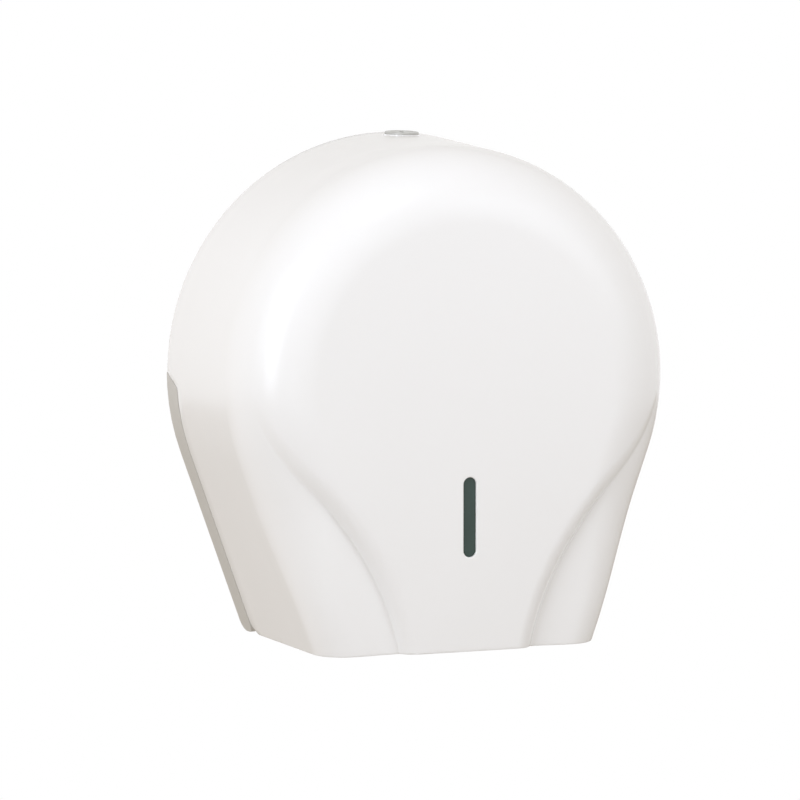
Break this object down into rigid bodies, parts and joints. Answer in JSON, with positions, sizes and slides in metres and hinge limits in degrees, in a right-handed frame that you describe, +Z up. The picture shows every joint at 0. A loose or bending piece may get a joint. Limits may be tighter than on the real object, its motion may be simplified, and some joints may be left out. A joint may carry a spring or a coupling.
{
  "type": "jumbo toilet roll dispenser",
  "caption": "Wall-mounted mini jumbo toilet roll dispenser: round-topped hinged white cover with domed belly, level window, top lock, grey back plate and spinning core hub.",
  "frame": {"origin": "on the wall plane, where the spindle's axis meets it, which is also the middle of the four wall screws", "axes": "+Y into the wall, -Y out of the front, +Z up, +X to the right as seen from the front"},
  "size_m": [0.27, 0.1245, 0.2849],
  "materials": {
    "cover_white": "glossy moulded",
    "plate_grey": "satin moulded",
    "hub_grey": "satin moulded",
    "adapter_white": "satin moulded",
    "window_green": "polished smoked",
    "lock_grey": "satin moulded",
    "steel": "plain"
  },
  "bodies": {
    "plate": {"back_plate": "plate_grey", "spindle": "plate_grey", "spindle_screws": "steel", "hub_washer": "steel", "hub_screw": "steel", "strike_plate": "steel", "strike_screws": "steel", "hinge_pin_left": "steel", "hinge_pin_right": "steel"},
    "cover": {"front_cover": "cover_white", "window_lens": "window_green", "window_clips": "steel", "tear_strip": "steel", "tear_strip_screws": "steel", "lock_housing": "lock_grey", "lock_nut": "steel"},
    "hub": {"core_hub": "hub_grey", "core_adapter": "adapter_white"},
    "lock": {"lock_plug": "lock_grey", "lock_cam": "steel", "cam_screw": "steel"}
  },
  "joints": [
    {"name": "cover_hinge", "type": "hinge", "parent": "plate", "child": "cover", "pos_m": [0, -0.0255, -0.139], "axis": [1, 0, 0], "range_deg": [0, 90]},
    {"name": "hub_spin", "type": "hinge", "parent": "plate", "child": "hub", "pos_m": [0, -0.05, 0], "axis": [0, 1, 0], "continuous": true},
    {"name": "lock_turn", "type": "hinge", "parent": "cover", "child": "lock", "pos_m": [0, -0.0175, 0.13367], "axis": [0, 0.0758, -0.9971], "range_deg": [0, 90]}
  ]
}
